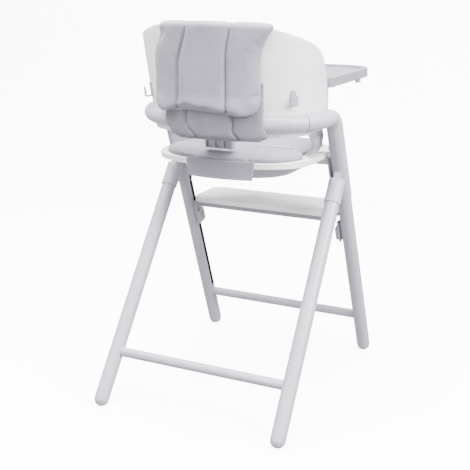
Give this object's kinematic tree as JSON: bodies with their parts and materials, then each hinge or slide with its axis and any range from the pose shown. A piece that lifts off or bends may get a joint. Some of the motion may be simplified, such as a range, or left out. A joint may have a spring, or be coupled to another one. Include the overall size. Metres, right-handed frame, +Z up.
{
  "type": "baby high chair",
  "caption": "Folding high chair with a bent-wood shell, padded seat, tray, footrest and raked tube legs joined by crossbars.",
  "frame": {"origin": "on the floor under the middle of the bounding box", "axes": "+Z is up; -Y is the way the child faces, towards the tray; +X is the child's left; X = 0 is the plane of symmetry"},
  "size_m": [0.5332, 0.7418, 0.9685],
  "materials": {
    "tube": "satin paint over aluminium",
    "dark_plastic": "matt",
    "steel": "turned",
    "wood": "white paint with a faint grain",
    "fabric": "tight plain weave",
    "webbing": "woven webbing",
    "plastic": "fine satin texture"
  },
  "bodies": {
    "frame": {"left_front_leg": "tube", "right_front_leg": "tube", "left_front_foot": "plastic", "right_front_foot": "plastic", "left_slot_rail": "dark_plastic", "right_slot_rail": "dark_plastic", "left_hub": "plastic", "right_hub": "plastic", "left_pivot_pin": "steel", "right_pivot_pin": "steel", "left_elbow": "plastic", "right_elbow": "plastic", "left_tray_rail": "plastic", "right_tray_rail": "plastic", "left_storage_hook": "plastic", "right_storage_hook": "plastic", "left_shoulder_strap": "webbing", "right_shoulder_strap": "webbing", "front_crossbar": "tube", "back_tube": "tube", "backrest_shell": "wood", "back_bracket": "plastic", "back_cushion": "fabric", "rear_cover": "fabric", "head_flap": "fabric"},
    "rear_legs": {"left_rear_leg": "tube", "right_rear_leg": "tube", "left_rear_foot": "plastic", "right_rear_foot": "plastic", "left_rear_socket": "plastic", "right_rear_socket": "plastic", "rear_crossbar": "tube"},
    "seat": {"seat_plate": "wood", "seat_base": "plastic", "left_seat_bracket": "plastic", "right_seat_bracket": "plastic", "left_seat_bolster": "fabric", "right_seat_bolster": "fabric", "left_waist_strap": "webbing", "right_waist_strap": "webbing", "seat_cushion": "fabric", "rear_band": "fabric", "crotch_strap": "webbing", "buckle": "plastic"},
    "footrest": {"footrest_board": "wood", "footrest_bar": "plastic", "left_footrest_bracket": "plastic", "right_footrest_bracket": "plastic"},
    "tray": {"tray_base": "plastic", "tray_insert": "plastic"},
    "buckle_button": {"buckle_button": "plastic"},
    "left_fold_button": {"left_fold_button": "plastic"},
    "left_footrest_button": {"left_footrest_button": "plastic"},
    "left_tray_latch": {"left_tray_latch": "plastic"},
    "right_fold_button": {"right_fold_button": "plastic"},
    "right_footrest_button": {"right_footrest_button": "plastic"},
    "right_tray_latch": {"right_tray_latch": "plastic"}
  },
  "joints": [
    {"name": "rear_legs_fold", "type": "hinge", "parent": "frame", "child": "rear_legs", "pos_m": [0, -0.0283, 0.5514], "axis": [-1, 0, 0], "range_deg": [0, 50]},
    {"name": "seat_height", "type": "slide", "parent": "frame", "child": "seat", "axis": [0, -0.3763, -0.9265], "range_m": [0, 0.08]},
    {"name": "footrest_height", "type": "slide", "parent": "frame", "child": "footrest", "axis": [0, -0.3763, -0.9265], "range_m": [0, 0.2]},
    {"name": "tray_reach", "type": "slide", "parent": "frame", "child": "tray", "axis": [0, -1, 0], "range_m": [0, 0.05]},
    {"name": "buckle_release", "type": "slide", "parent": "seat", "child": "buckle_button", "axis": [0, 0, -1], "range_m": [0, 0.002], "stiffness_N_per_m": 1200},
    {"name": "left_fold_release", "type": "slide", "parent": "frame", "child": "left_fold_button", "axis": [1, 0, 0], "range_m": [0, 0.002], "stiffness_N_per_m": 1200},
    {"name": "left_footrest_release", "type": "slide", "parent": "footrest", "child": "left_footrest_button", "axis": [1, 0, 0], "range_m": [0, 0.0025], "stiffness_N_per_m": 1200},
    {"name": "left_tray_release", "type": "slide", "parent": "tray", "child": "left_tray_latch", "axis": [-1, 0, 0], "range_m": [0, 0.004], "stiffness_N_per_m": 1200},
    {"name": "right_fold_release", "type": "slide", "parent": "frame", "child": "right_fold_button", "axis": [-1, 0, 0], "range_m": [0, 0.002], "stiffness_N_per_m": 1200},
    {"name": "right_footrest_release", "type": "slide", "parent": "footrest", "child": "right_footrest_button", "axis": [-1, 0, 0], "range_m": [0, 0.0025], "stiffness_N_per_m": 1200},
    {"name": "right_tray_release", "type": "slide", "parent": "tray", "child": "right_tray_latch", "axis": [1, 0, 0], "range_m": [0, 0.004], "stiffness_N_per_m": 1200}
  ]
}
